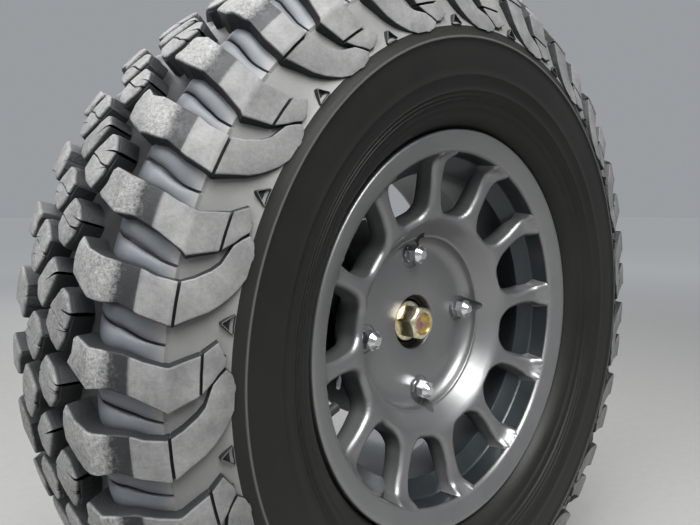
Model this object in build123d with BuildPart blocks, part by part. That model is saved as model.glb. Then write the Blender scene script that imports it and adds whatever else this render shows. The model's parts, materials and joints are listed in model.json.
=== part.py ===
import os
from math import asin, copysign, cos, degrees, hypot, radians, sin

from build123d import *

os.makedirs("parts", exist_ok=True)

# A front wheel end of a utility terrain vehicle, in millimetres.
# The origin is the middle of the knuckle's lower ball joint bore, +Z is up,
# +Y runs inboard along the wheel's axis and -X is the vehicle's forward.
# A depth is measured inboard from the plane of the wheel's outboard lip.
# The ball joints stand in the plane through the middle of the bearing.

# Tyre, its half widths measured from the middle of the rim
tyre_radius = 381.0
tread_half_width = 86.0
crown_drop = 4.0
shoulder_drop = 40.0
shoulder_width = 32.0
rib_drop = 93.0
rib_width = 11.0
rib_step = 2.0
rib_lip = 4.0
sidewall_width = 23.0
sidewall_rise = 12.0
sidewall_bulge = 7.0
sidewall_wall = 11.0
groove_depth = 18.0
groove_margin = 2.0
crown_wall = 8.0
liner_margin = 6.0
bead_width = 17.0
bead_gap = 0.3

# Tread pattern, the same from either side when turned half round
pitch_count = 21
flats_per_pitch = 2
tread_first_angle = 159.75
lug_lean = 45.0

# Rim barrel
rim_width = 200.0
bead_seat_radius = 190.0
bead_seat_width = 24.0
flange_height = 17.0
flange_thickness = 11.0
flange_chamfer = 2.5
lip_band_drop = 20.0
lip_band_depth = 7.5
well_drop = 18.0
well_slope = 11.0
well_width = 46.0
rear_slope = 16.5
barrel_wall = 5.5

# Wheel face, from the hub pad over the coved dish and its crest to the spokes
pad_depth = 72.0
pad_thickness = 14.0
pad_land = 2.0
pad_back_margin = 9.0
cove_width = 16.0
cove_rise = 14.0
dish_width = 18.0
dish_rise = 21.0
crest_width = 12.0
crest_rise = 6.0
spoke_rise = 11.0
spoke_thickness = 27.0
window_count = 12
window_first_angle = 81.0
window_clearance = 1.0
spoke_width = 21.0
spoke_foot_width = 25.0
window_inner_fillet = 19.0
window_outer_fillet = 8.0
window_draft = 3.0
pilot_radius = 30.0
pilot_clearance = 0.2

# Wheel studs and nuts
stud_count = 4
stud_circle_radius = 78.0
stud_first_angle = 95.5
stud_radius = 6.0
stud_clearance = 0.6
stud_head_radius = 9.0
stud_head_thickness = 3.0
stud_grip = 11.0
nut_hex_radius = 10.5
nut_height = 14.0
nut_wall = 2.0
nut_seat_radius = 9.5
nut_seat_length = 6.0
nut_dome_height = 5.0
nut_thread_gap = 0.15
pocket_radius = 15.5
pocket_tip_radius = 2.0
pocket_reach = 24.0

# Hub
hub_flange_margin = 10.0
hub_flange_thickness = 12.0
hub_pilot_length = 4.0
hub_recess_wall = 4.3
hub_recess_depth = 10.0
hub_neck_radius = 44.0
disc_seat_margin = 11.0
disc_seat_gap = 21.0
disc_seat_thickness = 7.0
spindle_radius = 32.0
fit_gap = 0.2

# Brake disc
disc_radius = 118.0
disc_pilot_gap = 1.0
disc_thickness = 5.0
disc_bolt_circle_radius = 55.0
disc_bolt_radius = 4.0
disc_bolt_head_radius = 7.0
disc_bolt_head_height = 4.5
disc_bolt_tail = 2.0
disc_slot_count = 8
disc_slot_length = 22.0
disc_slot_width = 7.0
disc_slot_tilt = 35.0
disc_slot_rim = 25.0
bolt_clearance = 0.3

# Bearing
bearing_race_thickness = 6.0
bearing_outer_thickness = 9.0
bearing_bore_gap = 0.05
bearing_width = 40.0
bearing_seal_gap = 0.4

# Knuckle
axis_height = 100.0
knuckle_gap = 7.0
knuckle_ring_wall = 15.5
knuckle_shoulder = 4.0
knuckle_front_step = 6.0
ball_joint_span = 205.0
ball_boss_radius = 23.0
ball_boss_height = 34.0
ball_bore_radius = 9.0
ball_nut_room = 13.0
web_thickness = 15.0
web_root_radius = 50.0
web_tip_margin = 4.0
steering_eye_reach = 112.0
steering_eye_drop = 28.0
steering_eye_radius = 15.0
steering_eye_height = 24.0
steering_eye_offset = 16.0
steering_arm_thickness = 16.0
steering_arm_root_radius = 40.0
steering_arm_tip_radius = 7.0
steering_bore_radius = 6.0

# Caliper and pads, about a line from the axis
caliper_angle = 150.0
caliper_spread = 40.0
caliper_reach = 42.0
caliper_bridge_gap = 6.0
caliper_bridge_thickness = 18.0
caliper_corner = 7.0
caliper_outboard_thickness = 12.0
caliper_inboard_thickness = 17.0
caliper_ear_radius = 11.0
caliper_ear_root_radius = 15.0
caliper_ear_spread = 30.0
caliper_ear_inset = 6.0
caliper_ear_thickness = 9.0
caliper_lug_thickness = 14.0
caliper_bolt_radius = 5.0
caliper_bolt_head_radius = 8.5
caliper_bolt_head_height = 6.0
piston_boss_radius = 17.0
piston_boss_height = 7.0
piston_spread = 19.0
brake_pad_height = 36.0
brake_pad_inset = 2.0
brake_pad_spread = 32.0
pad_lining_margin = 2.0
pad_lining_spread = 28.0
pad_clearance = 0.5
pad_plate_thickness = 4.5
pad_lining_thickness = 4.0
hose_port_radius = 4.5
hose_port_length = 9.0
hose_port_inset = 10.0

# Outer joint, its nut, its boot and the shaft
shaft_end_reach = 12.0
shaft_end_chamfer = 2.0
shaft_thread_radius = 13.5
spline_step = 0.8
axle_nut_hex_radius = 23.0
axle_nut_thickness = 18.0
axle_nut_chamfer = 3.0
axle_washer_radius = 21.0
axle_washer_thickness = 4.0
joint_cup_radius = 43.0
joint_cup_length = 62.0
joint_cup_slope = 10.0
joint_cup_gap = 3.0
joint_cup_wall = 7.0
joint_floor = 22.0
boot_fold_count = 4
boot_fold_depth = 8.0
boot_length = 84.0
boot_seat_length = 14.0
boot_cuff_length = 12.0
boot_cuff_wall = 3.8
boot_wall = 2.5
band_thickness = 1.2
band_width = 8.0
band_inset = 2.0
shaft_radius = 13.0
shaft_tail = 100.0
shaft_spline_radius = 12.4
shaft_spline_length = 34.0
shaft_groove = 3.0

# Valve, in the slope beside the outboard bead seat
valve_angle = 201.0
valve_radius = 5.0
valve_head_radius = 7.5
valve_head_height = 4.0
valve_length = 34.0

# Depths that follow from the sizes above, and the lip's distance from the ball joints
mounting_depth = pad_depth + pad_thickness
flange_back = mounting_depth + hub_flange_thickness
disc_seat_front = flange_back + disc_seat_gap
disc_front = disc_seat_front + disc_seat_thickness
disc_back = disc_front + disc_thickness
knuckle_front = disc_back + knuckle_gap
bearing_front = knuckle_front + knuckle_shoulder
bearing_back = bearing_front + bearing_width
lip_offset = bearing_front + bearing_width / 2
recess_floor = mounting_depth + hub_recess_depth
nut_back = recess_floor - axle_washer_thickness
cup_front = bearing_back + joint_cup_gap
cup_back = cup_front + joint_cup_length
boot_back = cup_back + boot_length

# Radii that follow from the sizes above
lip_radius = bead_seat_radius + flange_height
lip_band_radius = lip_radius - lip_band_drop
seat_inner = bead_seat_radius - barrel_wall
well_radius = bead_seat_radius - well_drop
well_inner = well_radius - barrel_wall
pad_flat_radius = stud_circle_radius + pad_land
cove_radius = pad_flat_radius + cove_width
crest_radius = cove_radius + dish_width
spoke_root_radius = crest_radius + crest_width
window_inner_radius = spoke_root_radius - window_clearance
hub_flange_radius = stud_circle_radius + stud_head_radius + hub_flange_margin
disc_inner_radius = hub_neck_radius + disc_pilot_gap
race_gap_radius = spindle_radius + bearing_bore_gap + bearing_race_thickness
bearing_outer_radius = race_gap_radius + bearing_seal_gap + bearing_outer_thickness + bearing_bore_gap
knuckle_ring_radius = bearing_outer_radius + knuckle_ring_wall
spline_bore_radius = shaft_thread_radius + spline_step
caliper_inner_radius = disc_radius - caliper_reach
slot_outer_radius = disc_radius + caliper_bridge_gap
caliper_outer_radius = slot_outer_radius + caliper_bridge_thickness


def square_plane(depth):
    """A plane square to the wheel's axis, with +X level and its normal outboard."""
    return Plane(origin=(0, depth - lip_offset, axis_height), x_dir=(1, 0, 0), z_dir=(0, -1, 0))


# The wheel's axis, and the half plane where its sections are drawn as (depth, radius)
wheel_axis = Axis((0, 0, axis_height), (0, 1, 0))
section_plane = Plane(origin=(0, -lip_offset, axis_height), x_dir=(0, 1, 0), z_dir=(1, 0, 0))


def turned(*outline):
    """A closed outline of (depth, radius) points turned about the wheel's axis."""
    with BuildPart() as piece:
        with BuildSketch(section_plane):
            with BuildLine():
                Polyline(*outline, close=True)
            make_face()
        revolve(axis=wheel_axis)
    return piece.part


def ring(start, end, inner, outer):
    """A plain ring from one depth to another."""
    return turned((start, inner), (end, inner), (end, outer), (start, outer))


def around(piece, depth, radius, count, first_angle, mode=Mode.ADD):
    """Repeat a piece about the wheel's axis, its own +Z outboard from a depth."""
    with Locations(square_plane(depth)):
        with PolarLocations(radius, count, start_angle=first_angle):
            add(piece, mode=mode)


def on_circle(radius, angle):
    """A point on a circle, in a plane square to the wheel's axis."""
    return (radius * cos(radians(angle)), radius * sin(radians(angle)))


def web(outline_depth, thickness, root_radius, tip_radius, tip):
    """A flat arm from a round root on the wheel's axis to a round tip, from a depth inboard."""
    with BuildPart() as arm:
        with BuildSketch(square_plane(outline_depth)):
            Circle(root_radius)
            with Locations(tip):
                Circle(tip_radius)
            make_hull()
        extrude(amount=-thickness)
    return arm.part


def export(piece, name):
    piece.part.label = name
    export_step(piece.part, f"parts/{name}.step")


# Tyre outlines, as (half width, radius) points from the middle of the tread to the bead
mid_depth = rim_width / 2
flange_face = mid_depth - flange_thickness - bead_gap
bead_toe = flange_face - bead_width
bead_bottom = bead_seat_radius + bead_gap
shoulder_half_width = tread_half_width + shoulder_width
shoulder_radius = tyre_radius - shoulder_drop
rib_half_width = shoulder_half_width + rib_width
rib_radius = tyre_radius - rib_drop
foot_half_width = rib_half_width - sidewall_width
foot_radius = lip_radius + sidewall_rise
sidewall_radius = (rib_radius + foot_radius) / 2
sidewall_half_width = (rib_half_width + foot_half_width) / 2 + sidewall_bulge
floor_radius = tyre_radius - crown_drop - groove_depth
floor_end = rib_half_width - rib_step
tread_edge = (tread_half_width, tyre_radius - crown_drop)
corner = (shoulder_half_width, shoulder_radius)
lug_tips = [(0, tyre_radius), tread_edge, corner, (rib_half_width, rib_radius)]


def tread_wall(share):
    """A line inside the wall under the tread, from its liner at 0 to the grooves' floor at 1."""
    liner_end = rib_half_width - sidewall_wall
    edge = tread_half_width - liner_margin + (groove_margin + liner_margin) * share
    end = liner_end + (floor_end - liner_end) * share
    return [(edge, floor_radius - crown_wall * (1 - share)), (end, rib_radius)]


def mirrored(half_outline):
    """A half outline with its mirror image, from one sidewall over the tread to the other."""
    return [(-width, radius) for width, radius in reversed(half_outline) if width > 0] + half_outline


def on_tyre(half_width, radius, angle):
    """A point by its half width, outboard counted positive, its radius and its angle."""
    x, z = on_circle(radius, angle)
    return Vector(x, mid_depth - half_width - lip_offset, axis_height + z)


def turned_tyre(outline):
    """An outline of (half width, radius) points turned about the wheel's axis."""
    return turned(*[(mid_depth - half_width, radius) for half_width, radius in outline])


def flat_sided(outline, flat_count):
    """An outline of (half width, radius) points that goes round the axis in flats."""
    out = 1 / cos(radians(180 / flat_count))
    rings = [
        [on_tyre(half_width, radius * out, 360 * k / flat_count) for k in range(flat_count)]
        for half_width, radius in outline
    ]
    walls = [Face(Wire.make_polygon(ring)) for ring in (rings[0], rings[-1])]
    for ring, following in zip(rings, rings[1:]):
        for k in range(flat_count):
            corners = [ring[k - 1], ring[k], following[k], following[k - 1]]
            walls.append(Face(Wire.make_polygon(corners)))
    return Solid(Shell(walls))


# Tread pattern, drawn flat. A point is its reach from the tread's middle, measured along
# the lugs' tips with outboard counted positive, and its angle in degrees.
crown_reach = hypot(tread_half_width, crown_drop)
corner_reach = crown_reach + hypot(shoulder_width, shoulder_drop - crown_drop)
long_lug = [
    (corner_reach + 42, 2.6),
    (corner_reach, 6.3),
    (51, 3.4),
    (54, 7.9),
    (corner_reach, 11.0),
    (corner_reach + 37, 7.3),
]
short_lug = [(corner_reach + 38, -2.5), (corner_reach, -1.7), (65, -4.1), (65, -0.7), (corner_reach, 2.9)]
outer_block = [(56, -5.9), (36, -8.3), (12, -4.4), (48, -2.2)]
inner_block = [(38, 2.1), (16, -0.8), (0, 2.7), (26, 4.8)]
middle_block = [(20, 7.6), (0, 6.1), (-20, 9.6), (0, 11.1)]

# Each form's outline, its lean outboard from the tyre's radius, and whether it has a twin,
# which is the same outline turned half round
tread_forms = [
    (long_lug, lug_lean, True),
    (short_lug, lug_lean, True),
    (outer_block, 0, True),
    (inner_block, 0, True),
    (middle_block, 0, False),
]


def along_tips(reach):
    """The (half width, radius) point at a reach from the tread's middle."""
    left = abs(reach)
    for (half_width, radius), (next_width, next_radius) in zip(lug_tips, lug_tips[1:]):
        length = hypot(next_width - half_width, next_radius - radius)
        if left <= length:
            break
        left -= length
    half_width += (next_width - half_width) * left / length
    radius += (next_radius - radius) * left / length
    return copysign(half_width, reach), radius


def tread_form(outline, lean):
    """One lug or block, from inside the tread's wall to the tips."""
    middle = tread_first_angle + sum(angle for reach, angle in outline) / len(outline)
    out_x, out_z = on_circle(1, middle)
    outboard = Vector(0, -1, 0)
    outward = Vector(out_x, 0, out_z)
    onward = Vector(-out_z, 0, out_x)
    centre = on_tyre(0, 0, 0)
    leaning = outward * cos(radians(lean)) + outboard * sin(radians(lean))
    lie = Plane(origin=centre, x_dir=onward, z_dir=leaning)
    points = []
    for reach, angle in outline:
        half_width, radius = along_tips(reach)
        swing = radius * radians(tread_first_angle + angle - middle)
        point = lie.to_local_coords(centre + outboard * half_width + outward * radius + onward * swing)
        points.append((point.X, point.Y))
    with BuildPart() as form:
        with BuildSketch(lie):
            Polygon(*points, align=None)
        extrude(amount=2 * tyre_radius)
        with BuildSketch(Plane(origin=centre, x_dir=outboard, z_dir=onward)):
            Polygon(*mirrored(lug_tips), *reversed(mirrored(tread_wall(0.25))), align=None)
        extrude(amount=tread_half_width, both=True, mode=Mode.INTERSECT)
    return form.part


# Tyre: a round hollow casing, the tread's wall in flats round it, and the lugs and blocks
side_outline = [
    (floor_end, rib_radius - rib_step),
    (rib_half_width, rib_radius - rib_lip),
    (sidewall_half_width, sidewall_radius),
    (foot_half_width, foot_radius),
    (flange_face, lip_radius),
    (flange_face, bead_bottom),
    (bead_toe, bead_bottom),
    (foot_half_width - sidewall_wall, foot_radius + sidewall_wall / 2),
]
bore_end = [(rib_half_width + rib_step, rib_radius - 2 * rib_lip), (rib_half_width + rib_step, 0)]

pitch_forms = []
for outline, lean, has_twin in tread_forms:
    pitch_forms.append(tread_form(outline, lean))
    if has_twin:
        pitch_forms.append(tread_form([(-reach, -angle) for reach, angle in outline], -lean))

with BuildPart() as tyre:
    add(flat_sided(mirrored(tread_wall(1)), flats_per_pitch * pitch_count))
    add(turned_tyre(mirrored(tread_wall(0.25) + bore_end)), mode=Mode.SUBTRACT)
    casing = turned_tyre(mirrored(tread_wall(0.5) + side_outline + tread_wall(0)[::-1]))
    turns = [360 * k / pitch_count for k in range(pitch_count)]
    add([casing] + [form.rotate(wheel_axis, turn) for form in pitch_forms for turn in turns])
export(tyre, "tyre")

# Rim barrel, from the outboard lip to the inboard one
seat_end = flange_thickness + bead_seat_width
well_start = seat_end + well_slope
well_end = well_start + well_width
rear_seat_start = well_end + rear_slope
wall_shift = barrel_wall / 2
inboard_flange = rim_width - flange_thickness

barrel = turned(
    (0, lip_radius - flange_chamfer),
    (flange_chamfer, lip_radius),
    (flange_thickness, lip_radius),
    (flange_thickness, bead_seat_radius),
    (seat_end, bead_seat_radius),
    (well_start, well_radius),
    (well_end, well_radius),
    (rear_seat_start, bead_seat_radius),
    (inboard_flange, bead_seat_radius),
    (inboard_flange, lip_radius),
    (rim_width - flange_chamfer, lip_radius),
    (rim_width, lip_radius - flange_chamfer),
    (rim_width, lip_band_radius),
    (rim_width - lip_band_depth, seat_inner),
    (rear_seat_start + wall_shift, seat_inner),
    (well_end + wall_shift, well_inner),
    (well_start - wall_shift, well_inner),
    (seat_end - wall_shift, seat_inner),
    (lip_band_depth, seat_inner),
    (0, lip_band_radius),
)

# Wheel face: hub pad, coved dish, crest and spokes, before the windows
cove_depth = pad_depth - cove_rise
crest_depth = cove_depth - dish_rise
spoke_root_depth = crest_depth - crest_rise
spoke_tip_depth = spoke_root_depth - spoke_rise

face = turned(
    (mounting_depth, pilot_radius),
    (pad_depth, pilot_radius),
    (pad_depth, pad_flat_radius),
    (pad_depth - cove_rise / 4, pad_flat_radius + cove_width * 0.6),
    (cove_depth, cove_radius),
    (crest_depth, crest_radius),
    (crest_depth - crest_rise * 0.6, crest_radius + crest_width * 0.4),
    (spoke_root_depth, spoke_root_radius),
    (spoke_tip_depth, seat_inner + wall_shift),
    (seat_end - wall_shift, seat_inner + wall_shift),
    (well_start - wall_shift, well_inner + wall_shift),
    (spoke_root_depth + spoke_thickness, spoke_root_radius),
    (mounting_depth, cove_radius + pad_back_margin),
)


def window_outline(draft):
    """One window's outline about +X: spokes on both sides, an arc at its outer end."""
    half_pitch = 180 / window_count
    inner_radius = window_inner_radius + draft
    outer_turn = half_pitch - degrees(asin((spoke_foot_width / 2 + draft) / seat_inner))
    inner_turn = half_pitch - degrees(asin((spoke_width / 2 + draft) / inner_radius))
    with BuildSketch() as outline:
        with BuildLine():
            outer = ThreePointArc(
                on_circle(seat_inner, -outer_turn), (seat_inner, 0), on_circle(seat_inner, outer_turn)
            )
            Polyline(
                outer @ 1,
                on_circle(inner_radius, inner_turn),
                on_circle(inner_radius, -inner_turn),
                outer @ 0,
            )
        make_face()
        fillet(outline.vertices().sort_by(Axis.X)[:2], window_inner_fillet - draft)
        fillet(outline.vertices().sort_by(Axis.X)[-2:], window_outer_fillet)
    return outline.sketch


with BuildPart() as window:
    with BuildSketch():
        add(window_outline(0))
    with BuildSketch(Plane.XY.offset(-mounting_depth)):
        add(window_outline(window_draft))
    loft(ruled=True)

# A nut's pocket, pointed where it cuts into the dish
with BuildPart() as pocket:
    with BuildSketch():
        Circle(pocket_radius)
        with Locations((pocket_reach, 0)):
            Circle(pocket_tip_radius)
        make_hull()
    extrude(amount=pad_depth)

# A stud's hole and its countersink
with BuildPart() as seat:
    Cylinder(stud_radius + stud_clearance, 3 * pad_thickness)
    with Locations((0, 0, -nut_seat_length / 2)):
        Cone(stud_radius + stud_clearance, nut_seat_radius, nut_seat_length)

valve_depth = seat_end + well_slope / 2


def valve_stand(piece):
    """Stand a piece on the barrel at the valve, its own +Z towards the tyre."""
    out_x, out_z = on_circle(1, valve_angle)
    base_x, base_z = on_circle(bead_seat_radius, valve_angle)
    stand = Plane(
        origin=(base_x, valve_depth - lip_offset, axis_height + base_z),
        x_dir=(0, 1, 0),
        z_dir=(out_x, 0, out_z),
    )
    return stand.location * piece


with BuildPart() as valve_hole:
    Cylinder(valve_radius + fit_gap, 2 * valve_length)

with BuildPart() as rim:
    add(face)
    around(window.part, 0, 0, window_count, window_first_angle, Mode.SUBTRACT)
    around(pocket.part, pad_depth, stud_circle_radius, stud_count, stud_first_angle, Mode.SUBTRACT)
    around(seat.part, pad_depth, stud_circle_radius, stud_count, stud_first_angle, Mode.SUBTRACT)
    add(barrel)
    add(valve_stand(valve_hole.part), mode=Mode.SUBTRACT)
export(rim, "wheel_rim")

# Hub: flange, pilot ring, recess for the axle nut, neck, disc seat and spindle
pilot_outer_radius = pilot_radius - pilot_clearance
hub_recess_radius = pilot_outer_radius - hub_recess_wall

with BuildPart() as hub:
    body = turned(
        (mounting_depth - hub_pilot_length, hub_recess_radius),
        (recess_floor, hub_recess_radius),
        (recess_floor, spline_bore_radius),
        (bearing_back, spline_bore_radius),
        (bearing_back, spindle_radius),
        (knuckle_front, spindle_radius),
        (knuckle_front, hub_neck_radius - fit_gap),
        (disc_front, hub_neck_radius - fit_gap),
        (disc_front, disc_bolt_circle_radius + disc_seat_margin),
        (disc_seat_front, disc_bolt_circle_radius + disc_seat_margin),
        (disc_seat_front, hub_neck_radius),
        (flange_back, hub_neck_radius),
        (flange_back, hub_flange_radius),
        (mounting_depth, hub_flange_radius),
        (mounting_depth, pilot_outer_radius),
        (mounting_depth - hub_pilot_length, pilot_outer_radius),
    )
    add(body)
    with Locations(square_plane(mounting_depth + hub_flange_thickness / 2)):
        with PolarLocations(stud_circle_radius, stud_count, start_angle=stud_first_angle):
            Cylinder(stud_radius + fit_gap, 2 * hub_flange_thickness, mode=Mode.SUBTRACT)
    with Locations(square_plane(disc_front)):
        with PolarLocations(disc_bolt_circle_radius, stud_count, start_angle=stud_first_angle + 45):
            Cylinder(disc_bolt_radius + bolt_clearance, 3 * disc_seat_thickness, mode=Mode.SUBTRACT)
export(hub, "wheel_hub")

# Studs, pressed in from behind the hub flange
upright = (Align.CENTER, Align.CENTER, Align.MIN)
hanging = (Align.CENTER, Align.CENTER, Align.MAX)

with BuildPart() as stud:
    Cylinder(stud_radius, flange_back - pad_depth + stud_grip, align=upright)
    Cylinder(stud_head_radius, stud_head_thickness, align=hanging)

with BuildPart() as studs:
    around(stud.part, flange_back, stud_circle_radius, stud_count, stud_first_angle)
export(studs, "wheel_studs")

# Closed tapered nuts, seated in the pad's countersinks
flats_radius = nut_hex_radius * cos(radians(30))

with BuildPart() as nut:
    Cone(stud_radius + stud_clearance, nut_seat_radius, nut_seat_length, align=hanging)
    with BuildSketch():
        RegularPolygon(nut_hex_radius, 6)
    extrude(amount=nut_height)
    with Locations((0, 0, nut_height)):
        Cone(flats_radius, flats_radius / 2, nut_dome_height, align=upright)
    with Locations((0, 0, -nut_seat_length)):
        Cylinder(
            stud_radius + nut_thread_gap,
            nut_seat_length + nut_height - nut_wall,
            align=upright,
            mode=Mode.SUBTRACT,
        )

with BuildPart() as lug_nuts:
    around(nut.part, pad_depth - fit_gap, stud_circle_radius, stud_count, stud_first_angle)
export(lug_nuts, "lug_nuts")

# Brake disc with slots across its rubbed face
with BuildPart() as disc:
    add(ring(disc_front, disc_back, disc_inner_radius, disc_radius))
    with BuildSketch(square_plane(disc_back)):
        with PolarLocations(disc_radius - disc_slot_rim, disc_slot_count):
            SlotOverall(disc_slot_length, disc_slot_width, rotation=disc_slot_tilt)
    extrude(amount=disc_thickness, mode=Mode.SUBTRACT)
    with Locations(square_plane(disc_front)):
        with PolarLocations(disc_bolt_circle_radius, stud_count, start_angle=stud_first_angle + 45):
            Cylinder(disc_bolt_radius + bolt_clearance, 4 * disc_thickness, mode=Mode.SUBTRACT)
export(disc, "brake_disc")

with BuildPart() as disc_bolt:
    Cylinder(disc_bolt_head_radius, disc_bolt_head_height, align=hanging)
    Cylinder(disc_bolt_radius, disc_thickness + disc_seat_thickness + disc_bolt_tail, align=upright)

with BuildPart() as disc_bolts:
    around(disc_bolt.part, disc_back, disc_bolt_circle_radius, stud_count, stud_first_angle + 45)
export(disc_bolts, "disc_bolts")

# Bearing: inner race on the spindle, outer race with its seal in the knuckle
with BuildPart() as bearing_inner:
    add(ring(bearing_front, bearing_back, spindle_radius + bearing_bore_gap, race_gap_radius))
export(bearing_inner, "bearing_inner_race")

with BuildPart() as bearing_outer:
    outer_race_bore = race_gap_radius + bearing_seal_gap
    add(ring(bearing_front, bearing_back, outer_race_bore, bearing_outer_radius - bearing_bore_gap))
export(bearing_outer, "bearing_outer_race")

# Knuckle: bearing ring, two ball joint arms behind their nuts, steering arm and caliper lugs
pad_stack = pad_clearance + pad_lining_thickness + pad_plate_thickness
caliper_front = disc_front - pad_stack - caliper_outboard_thickness
ear_back = disc_back + pad_stack + caliper_inboard_thickness
ear_circle_radius = disc_radius - caliper_ear_inset
ear_angles = [caliper_angle + side * caliper_ear_spread for side in (-1, 1)]
ears = [on_circle(ear_circle_radius, angle) for angle in ear_angles]
web_front = lip_offset + ball_nut_room
web_back = web_front + web_thickness
ball_heights = (0, ball_joint_span)
eye_place = (steering_eye_reach, steering_eye_offset, axis_height - steering_eye_drop)

with BuildPart() as knuckle:
    add(ring(knuckle_front + knuckle_front_step, web_back, bearing_outer_radius, knuckle_ring_radius))
    add(ring(knuckle_front, web_back, bearing_outer_radius, knuckle_ring_radius - knuckle_front_step))
    for height in ball_heights:
        tip = (0, height - axis_height)
        add(web(web_front, web_thickness, web_root_radius, ball_boss_radius - web_tip_margin, tip))
        with Locations((0, 0, height)):
            Cylinder(ball_boss_radius, ball_boss_height)
    # Steering arm, rearward to its upright eye
    arm_depth = lip_offset + steering_eye_offset - steering_arm_thickness / 2
    arm_tip = (steering_eye_reach, -steering_eye_drop)
    add(web(arm_depth, steering_arm_thickness, steering_arm_root_radius, steering_arm_tip_radius, arm_tip))
    with Locations(eye_place):
        Cylinder(steering_eye_radius, steering_eye_height)
    # Caliper lugs
    for ear, angle in zip(ears, ear_angles):
        with BuildSketch(square_plane(ear_back)):
            with Locations(ear):
                Circle(caliper_ear_radius)
            with Locations(on_circle(bearing_outer_radius, angle)):
                Circle(caliper_ear_root_radius)
            make_hull()
        extrude(amount=-caliper_lug_thickness)
    # Bores
    add(ring(0, 1.5 * rim_width, 0, bearing_outer_radius), mode=Mode.SUBTRACT)
    with Locations(*[(0, 0, height) for height in ball_heights]):
        Cylinder(ball_bore_radius, ball_boss_height, mode=Mode.SUBTRACT)
    with Locations(eye_place):
        Cylinder(steering_bore_radius, steering_eye_height, mode=Mode.SUBTRACT)
    with Locations(square_plane(ear_back)):
        with Locations(*ears):
            Cylinder(caliper_bolt_radius + bolt_clearance, 4 * caliper_lug_thickness, mode=Mode.SUBTRACT)
export(knuckle, "steering_knuckle")

# Outer joint: threaded end, splined stub, shoulder and cup
shaft_end_depth = pad_depth - shaft_end_reach

with BuildPart() as joint:
    add(
        turned(
            (shaft_end_depth, 0),
            (shaft_end_depth, shaft_thread_radius - shaft_end_chamfer),
            (shaft_end_depth + shaft_end_chamfer, shaft_thread_radius),
            (recess_floor, shaft_thread_radius),
            (recess_floor, spline_bore_radius - fit_gap),
            (cup_front, spline_bore_radius - fit_gap),
            (cup_front, spindle_radius),
            (cup_front + joint_cup_slope, joint_cup_radius),
            (cup_back, joint_cup_radius),
            (cup_back, joint_cup_radius - joint_cup_wall),
            (cup_front + joint_floor, joint_cup_radius - joint_cup_wall),
            (cup_front + joint_floor, 0),
        )
    )
export(joint, "outer_joint")

shaft_end = boot_back + shaft_tail
spline_start = shaft_end + shaft_groove

with BuildPart() as shaft:
    add(
        turned(
            (cup_front + joint_floor, 0),
            (cup_front + joint_floor, shaft_radius),
            (shaft_end, shaft_radius),
            (shaft_end, shaft_radius - shaft_groove),
            (spline_start, shaft_radius - shaft_groove),
            (spline_start, shaft_spline_radius),
            (spline_start + shaft_spline_length, shaft_spline_radius),
            (spline_start + shaft_spline_length, 0),
        )
    )
export(shaft, "drive_shaft")

with BuildPart() as washer:
    add(ring(nut_back, recess_floor, shaft_thread_radius + fit_gap, axle_washer_radius))
export(washer, "axle_washer")

# Axle nut, its corners turned off at the front
nut_front = nut_back - axle_nut_thickness
corner_radius = axle_nut_hex_radius - axle_nut_chamfer

with BuildPart() as axle_nut:
    with BuildSketch(square_plane(nut_back)):
        RegularPolygon(axle_nut_hex_radius, 6)
        Circle(shaft_thread_radius + fit_gap, mode=Mode.SUBTRACT)
    extrude(amount=axle_nut_thickness)
    blank = turned(
        (nut_front, 0),
        (nut_front, corner_radius),
        (nut_front + axle_nut_chamfer / 2, axle_nut_hex_radius),
        (nut_back, axle_nut_hex_radius),
        (nut_back, 0),
    )
    add(blank, mode=Mode.INTERSECT)
export(axle_nut, "axle_nut")

# Boot of rubber folds from the cup to the shaft
fold_length = boot_length / boot_fold_count
boot_seat_radius = joint_cup_radius + fit_gap
boot_start = cup_back - boot_seat_length
cuff_radius = shaft_radius + fit_gap + boot_cuff_wall
fold_points = [(boot_start, boot_seat_radius + boot_wall), (cup_back, boot_seat_radius + boot_wall)]
for fold in range(boot_fold_count):
    share = (fold + 0.5) / boot_fold_count
    peak = joint_cup_radius + boot_fold_depth / 2 - share * (joint_cup_radius - cuff_radius)
    fold_points.append((cup_back + (fold + 0.25) * fold_length, peak - boot_fold_depth))
    fold_points.append((cup_back + (fold + 0.75) * fold_length, peak))
fold_points += [(boot_back, cuff_radius), (boot_back + boot_cuff_length, cuff_radius)]
valleys = fold_points[2 : 2 * boot_fold_count + 1 : 2]

with BuildPart() as boot:
    hollow = [
        (boot_start, boot_seat_radius),
        (cup_back, boot_seat_radius),
        *[(depth, radius - boot_wall) for depth, radius in (valleys[0], valleys[-1])],
        (boot_back, shaft_radius + fit_gap),
        (boot_back + boot_cuff_length, shaft_radius + fit_gap),
    ]
    add(turned(*fold_points, *reversed(hollow)))
export(boot, "joint_boot")

# Steel bands that hold the boot on the cup and on the shaft
with BuildPart() as boot_bands:
    for start, radius in (
        (boot_start + band_inset, boot_seat_radius + boot_wall + fit_gap),
        (boot_back + band_inset, cuff_radius + fit_gap),
    ):
        add(ring(start, start + band_width, radius, radius + band_thickness))
export(boot_bands, "boot_bands")

# Valve stem
with BuildPart() as valve_piece:
    Cylinder(valve_radius, valve_length, align=hanging)
    Cylinder(valve_head_radius, valve_head_height, align=upright)

with BuildPart() as valve:
    add(valve_stand(valve_piece.part))
export(valve, "valve_stem")


def sector(inner, outer, spread):
    """A ring's sector about the caliper's angle, in a plane square to the axis."""
    start = caliper_angle - spread / 2
    end = caliper_angle + spread / 2
    with BuildSketch() as outline:
        with BuildLine():
            outer_arc = ThreePointArc(
                on_circle(outer, start), on_circle(outer, caliper_angle), on_circle(outer, end)
            )
            inner_arc = ThreePointArc(
                on_circle(inner, start), on_circle(inner, caliper_angle), on_circle(inner, end)
            )
            Line(outer_arc @ 0, inner_arc @ 0)
            Line(outer_arc @ 1, inner_arc @ 1)
        make_face()
    return outline.sketch


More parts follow.
